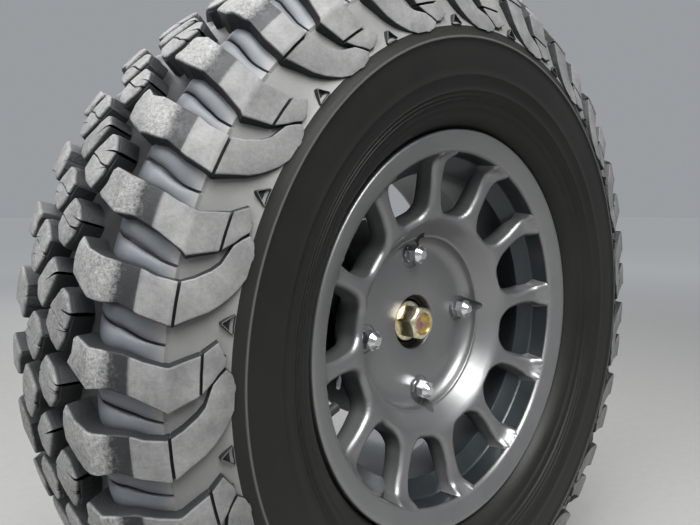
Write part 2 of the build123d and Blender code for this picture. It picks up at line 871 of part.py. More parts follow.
# Caliper: a body that straddles the disc, with two piston bosses and two ears
pad_outer_radius = disc_radius - brake_pad_inset
pad_inner_radius = pad_outer_radius - brake_pad_height
piston_circle_radius = (pad_inner_radius + pad_outer_radius) / 2
piston_angles = [caliper_angle + side * piston_spread / 2 for side in (-1, 1)]

with BuildPart() as caliper:
    with BuildSketch(square_plane(caliper_front)) as body_outline:
        add(sector(caliper_inner_radius, caliper_outer_radius, caliper_spread))
        fillet(body_outline.vertices(), caliper_corner)
    extrude(amount=caliper_front - ear_back)
    with BuildSketch(square_plane(disc_front - pad_stack)):
        add(sector(caliper_inner_radius / 2, slot_outer_radius, 1.5 * caliper_spread))
    extrude(amount=-2 * pad_stack - disc_thickness, mode=Mode.SUBTRACT)
    with Locations(square_plane(ear_back)):
        with Locations(*[on_circle(piston_circle_radius, angle) for angle in piston_angles]):
            Cylinder(piston_boss_radius, 2 * piston_boss_height)
    for side, ear in zip((-1, 1), ears):
        with BuildSketch(square_plane(ear_back - caliper_ear_thickness)):
            with Locations(ear):
                Circle(caliper_ear_radius)
            with Locations(on_circle(ear_circle_radius, caliper_angle + side * caliper_spread / 3)):
                Circle(caliper_ear_root_radius)
            make_hull()
        extrude(amount=-caliper_ear_thickness)
    with Locations(square_plane(ear_back)):
        with Locations(*ears):
            Cylinder(caliper_bolt_radius + bolt_clearance, 3 * caliper_ear_thickness, mode=Mode.SUBTRACT)
    with Locations(square_plane(ear_back)):
        with Locations(on_circle(caliper_outer_radius - hose_port_inset, caliper_angle)):
            Cylinder(hose_port_radius, 2 * hose_port_length, mode=Mode.SUBTRACT)
export(caliper, "brake_caliper")

# Caliper bolts, screwed in from behind the knuckle's lugs
with BuildPart() as caliper_bolt:
    with BuildSketch():
        RegularPolygon(caliper_bolt_head_radius, 6)
    extrude(amount=-caliper_bolt_head_height)
    Cylinder(caliper_bolt_radius, caliper_lug_thickness + caliper_ear_thickness, align=upright)

with BuildPart() as caliper_bolts:
    with Locations(square_plane(ear_back + caliper_lug_thickness)):
        with Locations(*ears):
            add(caliper_bolt.part)
export(caliper_bolts, "caliper_bolts")

# Brake pads: a steel plate against the caliper and a lining that faces the disc
for name, disc_face, inboard in (("outboard", disc_front, -1), ("inboard", disc_back, 1)):
    with BuildPart() as brake_pad:
        plate_start = disc_face + inboard * (pad_clearance + pad_lining_thickness)
        lining_inner = pad_inner_radius + pad_lining_margin
        lining_outer = pad_outer_radius - pad_lining_margin
        with BuildSketch(square_plane(plate_start)):
            add(sector(pad_inner_radius, pad_outer_radius, brake_pad_spread))
        extrude(amount=-inboard * pad_plate_thickness)
        with BuildSketch(square_plane(plate_start)):
            add(sector(lining_inner, lining_outer, pad_lining_spread))
        extrude(amount=inboard * pad_lining_thickness)
    export(brake_pad, f"{name}_brake_pad")
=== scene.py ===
# %% [markdown]
# This lesson dresses the wheel end of a small off-road vehicle: a lugged tyre on a cast
# wheel, with the hub, the brake, the knuckle and the shaft behind it. All of it could be
# modelled by eye in Blender, but then nothing would fit real sizes. So the packed CAD model
# is the frame, which says where each piece is and which body it turns with, and Blender
# adds what the eye looks for: the tread, the cast curves of the wheel and the finishes.

# %% Load the frame
import json
import math

import bmesh
import bpy
import numpy as np
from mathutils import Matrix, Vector


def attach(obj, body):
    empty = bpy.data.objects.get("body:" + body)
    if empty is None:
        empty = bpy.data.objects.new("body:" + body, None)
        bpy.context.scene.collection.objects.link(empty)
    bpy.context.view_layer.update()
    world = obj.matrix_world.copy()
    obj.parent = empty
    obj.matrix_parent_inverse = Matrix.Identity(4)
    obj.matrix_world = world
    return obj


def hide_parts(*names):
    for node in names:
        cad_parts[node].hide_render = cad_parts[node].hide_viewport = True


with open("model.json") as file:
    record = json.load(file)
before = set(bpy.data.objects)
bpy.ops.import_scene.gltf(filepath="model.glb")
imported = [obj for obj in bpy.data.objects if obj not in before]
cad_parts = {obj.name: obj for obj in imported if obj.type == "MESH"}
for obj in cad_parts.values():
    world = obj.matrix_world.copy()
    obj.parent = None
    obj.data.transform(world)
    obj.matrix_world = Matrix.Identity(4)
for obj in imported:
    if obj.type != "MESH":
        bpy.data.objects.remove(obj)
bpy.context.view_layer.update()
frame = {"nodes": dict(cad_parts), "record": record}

# %% [markdown]
# The camera stands close in front of the wheel and a little above its axle, so that both
# the tread and the face show. Its place was found by fitting circles of the real sizes to
# the picture, which is surer than moving it by hand, since a near camera changes a
# circle's shape as well as its size.

# %% Camera
eye = Vector((-0.4972, -0.5212, 0.2293))
target = Vector((-0.1654, -0.1620, 0.1830))
camera = bpy.data.objects.new("camera", bpy.data.cameras.new("camera"))
bpy.context.collection.objects.link(camera)
camera.location = eye
camera.rotation_mode = "QUATERNION"
camera.rotation_quaternion = (target - eye).to_track_quat("-Z", "Y")
camera.data.lens = 30.206
camera.data.sensor_width = 36
camera.data.clip_start = 0.01
bpy.context.scene.camera = camera
print("camera", tuple(round(x, 3) for x in eye))

# %% [markdown]
# The wheel's own measures are written once here. Almost everything on a wheel goes round
# its axle, so points are given by a depth, counted in mm inboard from the outboard lip, a
# radius from the axle, and an angle from +X towards +Z. One function turns them into the
# frame's metres, which is easier to check than x, y and z in every table.

# %% Places on the wheel
AXLE_HEIGHT = 0.100
LIP_Y = -0.162
TYRE_RADIUS = 0.381
MIDDLE_DEPTH = 100


def on_wheel(depth, radius, angle):
    """Depths and radii in mm and angles in degrees, turned into points in metres."""
    depth, radius, angle = np.broadcast_arrays(depth, radius, np.radians(angle))
    x = radius * np.cos(angle) / 1000
    z = radius * np.sin(angle) / 1000 + AXLE_HEIGHT
    return np.stack([x, depth / 1000 + LIP_Y, z], -1)


print("top of the tyre", on_wheel(MIDDLE_DEPTH, TYRE_RADIUS * 1000, 90).round(3))

# %% [markdown]
# Finishes are built from shader nodes. Wiring Math nodes one by one is slow to write and
# hard to read, so a node's output is wrapped in a small class that overloads Python's
# operators. An expression such as `1 - mask * 0.5` then adds its own nodes.

# %% Numbers from nodes
class Value:
    """The output of a node, which Python's operators work on."""

    def __init__(self, nodes, socket):
        self.nodes = nodes
        self.socket = socket

    def _sum(self, operation, first, second):
        return self.nodes.node("ShaderNodeMath", {"operation": operation}, {0: first, 1: second})

    def __add__(self, other):
        return self._sum("ADD", self, other)

    def __radd__(self, other):
        return self._sum("ADD", other, self)

    def __sub__(self, other):
        return self._sum("SUBTRACT", self, other)

    def __rsub__(self, other):
        return self._sum("SUBTRACT", other, self)

    def __mul__(self, other):
        return self._sum("MULTIPLY", self, other)

    def __rmul__(self, other):
        return self._sum("MULTIPLY", other, self)

    def clamp(self):
        """The value kept between 0 and 1."""
        return self.nodes.node("ShaderNodeClamp", {}, {"Value": self})

    def ease(self, low, high):
        """0 below low, 1 above high and a smooth step between them."""
        settings = {"interpolation_type": "SMOOTHSTEP"}
        sockets = {"Value": self, "From Min": low, "From Max": high}
        return self.nodes.node("ShaderNodeMapRange", settings, sockets)


print("a number may stand first in", [name for name in vars(Value) if name.startswith("__r")])

# %% [markdown]
# Every other node comes from one method, which takes the node's type, its settings and
# what its sockets get. The few nodes that each finish needs have short names of their own.

# %% A tree of nodes
class Nodes:
    """A node tree and the ways to add nodes to it."""

    def __init__(self, tree):
        self.tree = tree

    def fill(self, socket, value):
        """Link a value to a socket, or write a number or a colour there."""
        if isinstance(value, Value):
            self.tree.links.new(value.socket, socket)
        elif isinstance(value, tuple) and len(value) == 3 and socket.type == "RGBA":
            socket.default_value = (*value, 1)
        else:
            socket.default_value = value

    def node(self, kind, settings, sockets, output=0):
        """Any node: its settings first, then its sockets' values or links."""
        made = self.tree.nodes.new(kind)
        for name, value in settings.items():
            setattr(made, name, value)
        for name, value in sockets.items():
            self.fill(made.inputs[name], value)
        return Value(self, made.outputs[output])

    def places(self):
        """Where on the piece a point is, in metres, fixed to the piece."""
        return self.node("ShaderNodeTexCoord", {}, {}, "Object")

    def noise(self, scale, detail=4.0, roughness=0.55, stretch=None):
        """Cloudy noise from 0 to 1, with scale in spots per metre."""
        place = self.places()
        if stretch:
            place = self.node("ShaderNodeVectorMath", {"operation": "MULTIPLY"}, {0: place, 1: stretch})
        sockets = {"Vector": place, "Scale": scale, "Detail": detail, "Roughness": roughness}
        return self.node("ShaderNodeTexNoise", {}, sockets)

    def stored(self):
        """The shade that the mesh carries at each point."""
        return self.node("ShaderNodeAttribute", {"attribute_name": "shade"}, {}, "Fac")

    def mix(self, share, first, second):
        """From the first colour to the second."""
        return self.node("ShaderNodeMix", {"data_type": "RGBA"}, {"Factor": share, 6: first, 7: second}, 2)

    def seen(self):
        """1 for a ray that comes straight from the camera, or by way of gloss or glass."""
        kinds = ("Is Camera Ray", "Is Glossy Ray", "Is Transmission Ray")
        straight, glossy, clear = [self.node("ShaderNodeLightPath", {}, {}, kind) for kind in kinds]
        return (straight + glossy + clear).clamp()


class Finish(Nodes):
    """A material: one shader and the nodes that feed it."""

    def __init__(self, name, **uniform):
        self.material = bpy.data.materials.new(name)
        self.material.use_nodes = True
        super().__init__(self.material.node_tree)
        self.shader = self.tree.nodes["Principled BSDF"]
        for socket, value in uniform.items():
            self.set(socket.replace("_", " ").title().replace("Ior", "IOR"), value)

    def set(self, socket, value):
        """A value or a link for one of the shader's sockets."""
        self.fill(self.shader.inputs[socket], value)

    def bump(self, height, distance, strength=1.0):
        """Small relief, with its depth in metres."""
        sockets = {"Height": height, "Distance": distance, "Strength": strength}
        self.set("Normal", self.node("ShaderNodeBump", {}, sockets))


print("ways to add nodes:", [name for name in vars(Nodes) if not name.startswith("_")])

# %% [markdown]
# The stage is a plain pale floor under the tyre. Far from the lamps a floor goes dark, and
# stronger lamps would bleach the wheel. So the far floor and the sky get a pale tone that
# only the camera, gloss and glass see, and that throws no light on the wheel.

# %% Floor and sky
FLOOR_REACH = 30.0
FLOOR_Z = AXLE_HEIGHT - TYRE_RADIUS
FAR_TONE = (0.265, 0.28, 0.295)
floor_mesh = bpy.data.meshes.new("floor")
ends = [(-1, -1), (1, -1), (1, 1), (-1, 1)]
floor_mesh.from_pydata([(x * FLOOR_REACH, y * FLOOR_REACH, FLOOR_Z) for x, y in ends], [], [(0, 1, 2, 3)])
floor = bpy.data.objects.new("floor", floor_mesh)
bpy.context.collection.objects.link(floor)

floor_finish = Finish("pale_floor", roughness=0.85, emission_strength=1.0)
speck = floor_finish.noise(60)
floor_finish.set("Base Color", floor_finish.mix(speck, (0.32, 0.32, 0.312), (0.365, 0.365, 0.356)))
place = floor_finish.places()
away = floor_finish.node("ShaderNodeVectorMath", {"operation": "LENGTH"}, {0: place}, "Value")
glow = floor_finish.mix(away.ease(0.8, 5.0) * floor_finish.seen(), (0.0, 0.0, 0.0), FAR_TONE)
floor_finish.set("Emission Color", glow)
floor.data.materials.append(floor_finish.material)

SKY_LIGHT = 0.14
SKY_SEEN = 0.36
world = bpy.data.worlds.new("sky")
bpy.context.scene.world = world
world.use_nodes = True
sky = Nodes(world.node_tree)
background = sky.tree.nodes["Background"].inputs
sky.fill(background["Color"], (0.88, 0.92, 0.97))
sky.fill(background["Strength"], SKY_LIGHT + sky.seen() * (SKY_SEEN - SKY_LIGHT))
print("floor at", round(FLOOR_Z, 3))

# %% [markdown]
# The light is that of a bright sky, cut into soft square lamps that all face the axle. The
# one in front shines in the coves and rolled edges of the wheel. The ones at the left and
# on top give the tread its light and dark sides, a low one fills the shadows of the
# blocks, and one behind shows the inboard side. A single sky texture would light the tread
# from all round and flatten it.

# %% Lamps
# Name, place in metres, side in metres, power in watts
LAMPS = [
    ("sky_front", (-0.42, -1.2, 1.75), 1.25, 54),
    ("sky_left", (-1.9, -0.4, 2.0), 1.6, 44),
    ("sky_top", (-0.5, -0.5, 2.2), 1.5, 34),
    ("horizon", (-2.5, -0.5, 0.8), 1.0, 12),
    ("sky_back", (0.6, 2.4, 1.9), 2.0, 36),
]
for name, place, side, power in LAMPS:
    lamp = bpy.data.objects.new(name, bpy.data.lights.new(name, "AREA"))
    lamp.data.size = side
    lamp.data.energy = power
    lamp.location = place
    lamp.rotation_mode = "QUATERNION"
    lamp.rotation_quaternion = (Vector((0, 0, AXLE_HEIGHT)) - Vector(place)).to_track_quat("-Z", "Y")
    bpy.context.collection.objects.link(lamp)
bpy.context.scene.view_settings.view_transform = "Standard"
print("lamps", len(LAMPS))

# %% [markdown]
# Tyre rubber isn't one black. The tops of the lugs are scuffed and dusty, most of all on
# the crown, while their walls keep the dark moulded skin. A darker band where the crown
# turns down to the shoulder, and the darker eased edges of the lugs, are painted shade. A
# painted image could show all that but would have to fit each lug. Instead the mesh stores
# at each point how high it stands above the groove's floor, as its shade, and the finish
# picks its colour by that number.

# %% Lug rubber
TREAD_MIDDLE_Y = LIP_Y + MIDDLE_DEPTH / 1000


def across_tread(finish):
    """The square of the distance from the tread's middle, in square metres."""
    y = finish.node("ShaderNodeSeparateXYZ", {}, {"Vector": finish.places()}, "Y") - TREAD_MIDDLE_Y
    return y * y


rubber = Finish("tyre_rubber", specular_ior_level=0.3)
cloud = rubber.noise(26, 5.0, 0.65)
speckle = rubber.noise(380, 5.0, 0.75)
grain = rubber.noise(800, 3.0, 0.7)
aside = across_tread(rubber)
crown = 1 - aside.ease(0.0086, 0.0100)
# The band where the crown turns down to the shoulder is made darker, as painted shade.
valley_shade = aside.ease(0.0082, 0.0090) * (1 - aside.ease(0.0102, 0.0110))
# The eased edges get less dust than the tops and stay darker, as painted shadow lines.
top = rubber.stored().ease(0.86, 1.0)
worn = (0.20 + cloud) * (0.75 + crown * 0.15)
pitted = (speckle - 0.5) * (0.45 + crown * 1.3) + (grain - 0.5) * crown * 0.8
scuff = (top * (worn + pitted) - valley_shade * 0.35).clamp()
skin = rubber.mix(cloud, (0.008, 0.009, 0.010), (0.022, 0.023, 0.025))
dusty = rubber.mix((grain * 0.3 + cloud * 0.7).clamp(), (0.20, 0.201, 0.200), (0.43, 0.43, 0.42))
rubber.set("Base Color", rubber.mix(scuff, skin, dusty))
rubber.set("Roughness", 0.42 + scuff * 0.26 + grain * 0.1)
rubber.bump(grain * 0.4 + speckle * (0.3 + crown), 0.0006, 0.9)
print("lug rubber", len(rubber.tree.nodes), "nodes")

# %% [markdown]
# In the grooves the rubber is black where it is deep, and dusty on the flat floor near the
# sidewall. Where it is shallow it is painted a bluish grey, as a painted reflection of the
# sky. Three colours in a row, again picked by the stored shade, give all that with one
# finish.

# %% Groove rubber
groove_rubber = Finish("groove_rubber", specular_ior_level=0.45)
shallow = groove_rubber.stored()
cloud = groove_rubber.noise(40, 5.0, 0.65)
grain = groove_rubber.noise(500, 3.0, 0.6)
deep = groove_rubber.mix(cloud, (0.012, 0.012, 0.013), (0.034, 0.035, 0.036))
# The bluish grey of the shallow rubber is a painted reflection of the sky.
dust_and_sheen = groove_rubber.mix(cloud, (0.065, 0.073, 0.083), (0.115, 0.126, 0.140))
dust = groove_rubber.mix(cloud, (0.118, 0.118, 0.115), (0.215, 0.215, 0.210))
floor_colour = groove_rubber.mix(shallow.ease(0.05, 0.42), deep, dust_and_sheen)
groove_rubber.set("Base Color", groove_rubber.mix(shallow.ease(0.5, 0.95), floor_colour, dust))
groove_rubber.set("Roughness", 0.36 + cloud * 0.22)
groove_rubber.bump(grain * 0.4 + cloud, 0.0004, 0.6)
print("groove rubber", len(groove_rubber.tree.nodes), "nodes")

# %% [markdown]
# The sidewall never touches the ground, so it is smooth and nearly black, with a faint
# uneven gloss. Only its raised rib is painted a lighter grey all round, as a painted
# highlight, which the stored shade says.

# %% Sidewall rubber
sidewall_rubber = Finish("sidewall_rubber", specular_ior_level=0.22)
cloud = sidewall_rubber.noise(14, 4.0, 0.6)
film = sidewall_rubber.noise(500, 3.0, 0.6)
black = sidewall_rubber.mix(cloud, (0.0078, 0.0080, 0.0072), (0.0160, 0.0160, 0.0142))
# The raised rib's lighter grey is a painted highlight.
rib_highlight = sidewall_rubber.mix(sidewall_rubber.stored(), black, (0.10, 0.10, 0.095))
sidewall_rubber.set("Base Color", rib_highlight)
sidewall_rubber.set("Roughness", 0.36 + cloud * 0.20)
sidewall_rubber.bump(film, 0.0002, 0.5)
print("sidewall rubber", len(sidewall_rubber.tree.nodes), "nodes")

# %% [markdown]
# The wheel is painted in a satin gunmetal grey: fine metal flakes under a thin clear
# coat. A high metallic value with a weak coat does that in one shader, where two mixed
# shaders would bake worse. Brake dust dulls it in uneven patches. The inside of the barrel,
# the back of the spokes and the inboard end of each window's wall, where the shade rises
# to 1, are painted dark, as painted shade.

# %% Wheel paint
paint = Finish("wheel_paint", metallic=0.8, coat_weight=0.35, coat_roughness=0.15)
dust = paint.noise(30, 5.0, 0.6)
flake = paint.noise(2600, 2.0, 0.5)
clean = paint.mix((dust * 0.6 + flake * 0.4).clamp(), (0.192, 0.194, 0.194), (0.270, 0.272, 0.271))
# Dark where the shade is 1: painted shade inside the barrel and behind the spokes.
painted_shade = paint.mix(dust, (0.022, 0.028, 0.031), (0.045, 0.054, 0.058))
paint.set("Base Color", paint.mix(paint.stored(), clean, painted_shade))
paint.set("Roughness", 0.32 + dust * 0.14)
paint.bump(flake * 0.3 + dust, 0.0002, 0.35)
print("wheel paint", len(paint.tree.nodes), "nodes")

# %% [markdown]
# Yellow zinc plating shimmers from straw to pink, because its film is as thin as a
# wavelength of light. Two noises of different size mix three plain colours, which looks
# like it and still bakes. The shaft's end has weathered to a deeper gold.

# %% Zinc plating
zinc = Finish("yellow_zinc", metallic=1.0)
tint = zinc.noise(55, 3.0, 0.5)
stain = zinc.noise(210, 4.0, 0.6)
blush = zinc.mix(tint.ease(0.35, 0.62), (0.70, 0.66, 0.36), (0.74, 0.52, 0.42))
zinc.set("Base Color", zinc.mix(stain.ease(0.35, 0.65), blush, (0.86, 0.84, 0.66)))
zinc.set("Roughness", 0.24 + stain * 0.16)
zinc.bump(stain, 0.00004, 0.5)

end_zinc = Finish("end_zinc", metallic=1.0)
tint = end_zinc.noise(120, 3.0, 0.5)
stain = end_zinc.noise(330, 3.0, 0.6)
blush = end_zinc.mix(tint.ease(0.40, 0.60), (0.74, 0.60, 0.10), (0.62, 0.30, 0.34))
end_zinc.set("Base Color", end_zinc.mix(stain.ease(0.45, 0.70), blush, (0.50, 0.34, 0.08)))
end_zinc.set("Roughness", 0.24 + stain * 0.2)
end_zinc.bump(stain, 0.00006, 0.6)
print("zinc", len(zinc.tree.nodes), "nodes")

# %% [markdown]
# The other small parts differ only in numbers: how dark and light their colour gets, how
# rough they are, and how large and deep their marks are. One function makes them all from
# a table. Turned and ground parts have marks that are squeezed along the axle.

# %% Metal and rubber parts
def worked(name, dark, light, rough, spots, relief, metallic, marks=None):
    """A finish whose colour, gloss and relief vary with the same two noises."""
    made = Finish(name, metallic=metallic)
    patch = made.noise(spots, 5.0, 0.6, marks)
    wear = made.noise(spots * 9, 3.0, 0.6, marks)
    made.set("Base Color", made.mix(patch, dark, light))
    made.set("Roughness", rough - 0.08 + patch * 0.16 + wear * 0.08)
    made.bump(wear + patch * 0.5, relief, 0.6)
    return made


TURNED = (1.0, 8.0, 1.0)
# Name, darkest and lightest colour, roughness, spots per metre, relief in metres, metallic, marks
PARTS = [
    ("seal_rubber", (0.012, 0.012, 0.012), (0.03, 0.03, 0.029), 0.55, 60, 0.0002, 0.0),
    # Very dark: painted shade of the deep hole that the hub stands in.
    ("hub_steel", (0.020, 0.019, 0.018), (0.060, 0.056, 0.052), 0.5, 70, 0.0001, 0.8, TURNED),
    ("fastener_steel", (0.42, 0.42, 0.43), (0.62, 0.62, 0.63), 0.36, 120, 0.0001, 1.0),
    ("nut_chrome", (0.62, 0.62, 0.64), (0.82, 0.82, 0.84), 0.16, 90, 0.00003, 1.0),
    ("disc_steel", (0.30, 0.30, 0.31), (0.46, 0.46, 0.47), 0.34, 40, 0.00005, 1.0, TURNED),
    ("shaft_steel", (0.05, 0.05, 0.052), (0.11, 0.11, 0.113), 0.4, 60, 0.0001, 0.9, TURNED),
    ("knuckle_casting", (0.22, 0.22, 0.225), (0.36, 0.36, 0.365), 0.55, 55, 0.0006, 0.85),
    ("caliper_casting", (0.02, 0.02, 0.021), (0.05, 0.05, 0.052), 0.45, 55, 0.0005, 0.2),
    ("pad_lining", (0.06, 0.052, 0.048), (0.13, 0.12, 0.11), 0.8, 160, 0.0004, 0.1),
]
finishes = {row[0]: worked(*row) for row in PARTS}
finishes.update(tyre_rubber=rubber, wheel_paint=paint, yellow_zinc=zinc)
for row in frame["record"]["subparts"]:
    node = frame["nodes"][row["node"]]
    node.data.materials.clear()
    node.data.materials.append(finishes[row["material_slot"]].material)
print("finishes", len(finishes))

# %% [markdown]
# Meshes are made from sheets: a grid of points whose neighbours are joined by quads. That
# is surer than sculpting where a form repeats or is turned. One small class gathers
# sheets, and the shade stored at each point, until they become one piece.

# %% Sheets
class Stock:
    """Points, quads and one shade a point, gathered for one piece."""

    def __init__(self):
        self.points = []
        self.quads = []
        self.shades = []
        self.count = 0

    def sheet(self, grid, shade=1.0, closed=False):
        """Quads through a grid of points. Closed joins the last column to the first."""
        grid = np.asarray(grid, float)
        rows, columns = grid.shape[:2]
        index = np.arange(rows * columns).reshape(rows, columns) + self.count
        if closed:
            index = np.concatenate([index, index[:, :1]], 1)
        quads = np.stack([index[:-1, :-1], index[:-1, 1:], index[1:, 1:], index[1:, :-1]], -1)
        self.points.append(grid.reshape(-1, 3))
        self.quads.append(quads.reshape(-1, 4))
        self.shades.append(np.broadcast_to(shade, (rows, columns)).reshape(-1))
        self.count += rows * columns

    def mesh(self, name, crease):
        """The sheets as one mesh: shared points joined, normals outward, creases marked."""
        mesh = bpy.data.meshes.new(name)
        mesh.from_pydata(np.concatenate(self.points).tolist(), [], np.concatenate(self.quads).tolist())
        stored = mesh.attributes.new("shade", "FLOAT", "POINT")
        stored.data.foreach_set("value", np.concatenate(self.shades).astype(np.float32))
        editor = bmesh.new()
        editor.from_mesh(mesh)
        bmesh.ops.remove_doubles(editor, verts=editor.verts, dist=1e-5)
        bmesh.ops.recalc_face_normals(editor, faces=editor.faces)
        editor.to_mesh(mesh)
        editor.free()
        mesh.polygons.foreach_set("use_smooth", np.ones(len(mesh.polygons), bool))
        mesh.set_sharp_from_angle(angle=math.radians(crease))
        return mesh

    def object(self, name, crease=38):
        """The mesh as an object in the scene. Edges bent by more than the crease stay sharp."""
        made = bpy.data.objects.new(name, self.mesh(name, crease))
        bpy.context.collection.objects.link(made)
        return made


def dress(piece, body, finish):
    """Give a piece its finish, in its one material slot, and its body."""
    piece.data.materials.clear()
    piece.data.materials.append(finish.material)
    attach(piece, body)
    print(piece.name, sum(len(face.vertices) - 2 for face in piece.data.polygons), "triangles")
    return piece


def turned(section, steps=288, first=0.0, wrap=False, stock=None, shade=0.0):
    """Depth and radius points turned about the axle. Wrapped, the section is a closed loop."""
    section = np.array(list(section) + (list(section)[:1] if wrap else []), float)
    angles = first + np.arange(steps) * 360 / steps
    stock = stock or Stock()
    stock.sheet(on_wheel(section[:, :1], section[:, 1:2], angles[None, :]), shade, closed=True)
    return stock


print("a ring of two points turned in 8 steps has", turned([(0, 10), (5, 10)], 8).count, "points")

# %% [markdown]
# The tread repeats 21 times. Modelling it on the curved tyre would be hard to measure, so
# it is drawn flat first: `s` runs across the tread in mm along the tips of the lugs, from
# the outboard sidewall over the crown to the inboard one, and the other measure is the
# angle round the tyre. Two tables roll the drawing up, one for the tips and one for the
# groove's floor, and a share from 0 to 1 stands between them.

# %% Rolling the tread up
PAIRS = 21
PITCH = 360 / PAIRS
SPAN = 432.8

# Place across the tread, distance from its middle, radius
tips = np.array([
    (0, 129.2, 262), (28, 129.0, 288), (82, 118, 341), (106, 102, 359), (130, 86, 377),
    (150, 66, 378.8), (173, 43, 380.0), (195, 21, 380.6), (216.4, 0, 380.75),
])
floors = np.array([
    (0, 126.5, 262), (28, 126.3, 288), (45, 121.1, 304), (60, 116.1, 318), (82, 110.0, 336.5),
    (84, 106.5, 336.6), (92, 100.1, 339.0), (106, 91.0, 349.5), (118, 83.5, 357.5),
    (130, 77.5, 360.5), (173, 42, 362.2), (216.4, 0, 362.6),
])


def across(table, s):
    """Distance from the middle and radius at a place, from the outboard half's table."""
    folded = np.where(s > SPAN / 2, SPAN - s, s)
    width = np.interp(folded, table[:, 0], table[:, 1])
    radius = np.interp(folded, table[:, 0], table[:, 2])
    return np.where(s > SPAN / 2, -width, width), radius


def rolled(s, angle, share):
    """Flat tread places turned into points in metres."""
    tip_width, tip_radius = across(tips, s)
    floor_width, floor_radius = across(floors, s)
    width = floor_width + (tip_width - floor_width) * share
    radius = floor_radius + (tip_radius - floor_radius) * share
    return on_wheel(MIDDLE_DEPTH - width, radius, angle)


def degrees_of(distance, s):
    """How many degrees a distance in mm along the tread's circle is."""
    return np.degrees(distance / across(tips, s)[1])


print("pitch", round(PITCH, 3), "degrees, a groove is", round(tips[-1, 2] - floors[-1, 2], 1), "mm deep")

# %% [markdown]
# A lug is a loft: at each station across the tread it has an upper and a lower edge, and
# between them the same rounded section. A Boolean cut would leave ragged edges at a sipe,
# the narrow slit that cuts a lug in two. Four close stations, the middle two lower, make
# it cleanly.

# %% Stations of a lug
# Half a sipe's width in mm, the width of its slanted wall and the share of its floor
SIPE_HALF = 0.8
SIPE_WALL = 0.3
SIPE_SHARE = 0.45


def stations(upper, lower, cuts, dips, step=7.0):
    """Rows of s, both edges and the top's share. Dips are (first, last, share)."""
    upper = np.array(upper, float)
    lower = np.array(lower, float)
    start, end = upper[0, 0], upper[-1, 0]
    wanted = set(upper[:, 0]) | set(lower[:, 0]) | set(np.arange(start, end, step))
    for cut in cuts:
        for sign in (-1, 1):
            wanted |= {cut + sign * SIPE_HALF, cut + sign * (SIPE_HALF + SIPE_WALL)}
    for first, last, _ in dips:
        wanted |= {first - 1.5, first + 2.0, last - 2.0, last + 1.5}
    rows = []
    for s in sorted(wanted):
        if not start <= s <= end:
            continue
        top = 1.0
        for first, last, low in dips:
            if first < s < last:
                top = low
        for cut in cuts:
            if abs(s - cut) < SIPE_HALF + SIPE_WALL / 2:
                top = SIPE_SHARE
        rows.append((s, np.interp(s, *upper.T), np.interp(s, *lower.T), top))
    return rows


# The upper and the lower edge of each lug, as (s, angle)
long_edges = [np.array(edge) for edge in (
    [(34.5, 160.6), (37, 159.3), (41, 158.6), (45, 159.3), (50, 160.4), (55, 163.0), (60, 164.0),
     (70, 165.2), (79, 165.9), (95, 165.7), (104, 165.2), (128, 164.8), (150, 164.2), (163, 163.1),
     (166, 163.6), (168, 164.6)],
    [(34.5, 161.6), (36, 164.0), (40, 165.6), (45, 166.8), (50, 167.8), (57, 168.8), (79, 170.7),
     (82, 170.6), (100, 169.9), (115, 169.0), (126, 169.1), (140, 168.9), (150, 168.2), (166, 167.0),
     (168, 165.6)],
)]
short_edges = [np.array(edge) for edge in (
    [(42, 157.0), (48, 155.2), (58, 156.7), (79, 158.0), (95, 157.5), (108, 156.8), (128, 156.4),
     (147, 155.7), (150, 155.9), (152, 157.3), (158, 158.2)],
    [(42, 158.3), (47, 159.2), (50, 160.0), (58, 161.5), (79, 163.0), (82, 162.6), (100, 161.2),
     (118, 160.3), (130, 160.4), (150, 159.2), (158, 158.8)],
)]
# Besides lowering the tops a little, the dip makes the band darker through the stored shade, as painted
# shade.
FACET_DIP = (104, 118, 0.94)
long_rows = stations(*long_edges, [79], [FACET_DIP])
short_rows = stations(*short_edges, [58], [FACET_DIP])
print("a long lug has", len(long_rows), "stations, a short one", len(short_rows))

# %% [markdown]
# The section is a wall that leans out to its foot below the floor, an eased edge and a
# nearly flat top. The edge is worn rounder towards the crown. Three more rows at either
# end close the lug with the same wall.

# %% Lugs
# Inset in mm from the lug's edge, and the share that the section stands at there
SIDE_SECTION = [(-1.9, -0.06), (-0.4, 0.84), (0.0, 0.945), (0.55, 0.988), (1.5, 1.0)]
# Distance in mm past a lug's end, and the share there
END_SECTION = [(1.6, -0.08), (0.4, 0.75), (0.0, 0.95)]
END_EASE = 0.7


def lug(rows):
    """The flat grid of a lug: (s, angle, share) at every station and section point."""
    first, last = rows[0], rows[-1]
    line = [(first[0] - past, *first[1:3], share * first[3]) for past, share in END_SECTION]
    line.append((first[0] + END_EASE, *first[1:]))
    line += rows[1:-1]
    line.append((last[0] - END_EASE, *last[1:]))
    line += [(last[0] + past, *last[1:3], share * last[3]) for past, share in reversed(END_SECTION)]
    grid = []
    for s, upper, lower, top in line:
        width = (lower - upper) / 2
        soft = np.interp(s, (125, 165), (1.0, 2.6))
        half = []
        for inset, share in SIDE_SECTION:
            inset = degrees_of(inset * (soft if inset > 0 else 1), s)
            half.append((min(inset, width * 0.8), share * top if share > 0 else share))
        row = [(s, upper + inset, share) for inset, share in half]
        row.append((s, (upper + lower) / 2, top * 1.004))
        row += [(s, lower - inset, share) for inset, share in reversed(half)]
        grid.append(row)
    return np.array(grid)


long_lug = lug(long_rows)
short_lug = lug(short_rows)
print("a long lug has", long_lug.shape[0] * long_lug.shape[1], "points")

# %% [markdown]
# Two rounded ridges of rubber fill each shoulder groove to half its depth, with a cleft
# between them, to throw mud out. They lie between the edges of two lugs, so they are
# lofted from those edges and need no outline of their own. They rise out of the crown's
# floor and run flush into the flat floor between the feet of the lugs.

